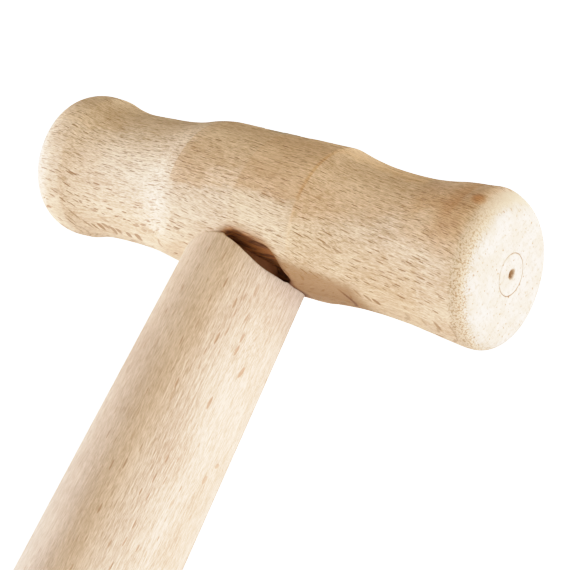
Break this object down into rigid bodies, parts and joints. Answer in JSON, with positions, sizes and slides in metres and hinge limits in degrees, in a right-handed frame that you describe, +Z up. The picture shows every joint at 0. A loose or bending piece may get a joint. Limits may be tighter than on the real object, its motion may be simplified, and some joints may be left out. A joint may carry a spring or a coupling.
{
  "type": "wooden mallet",
  "caption": "Turned wooden mallet: a waisted round head set across the top of a tapered round handle, held by a through tenon and a wedge.",
  "frame": {"origin": "centre of the flat butt of the handle, on the surface that the mallet stands on", "axes": "+Z up the handle from the butt to the head, +X along the head, +Y across the head"},
  "size_m": [0.14, 0.0406, 0.3],
  "materials": {
    "head_wood": "raw turned beech, fine sanded, no lacquer",
    "handle_wood": "raw turned beech, paler than the head, fine sanded",
    "wedge_wood": "beech, a little browner than the handle, end grain dressed flush with the head"
  },
  "bodies": {
    "root": {"head": "head_wood", "handle": "handle_wood", "wedge": "wedge_wood"}
  },
  "joints": []
}
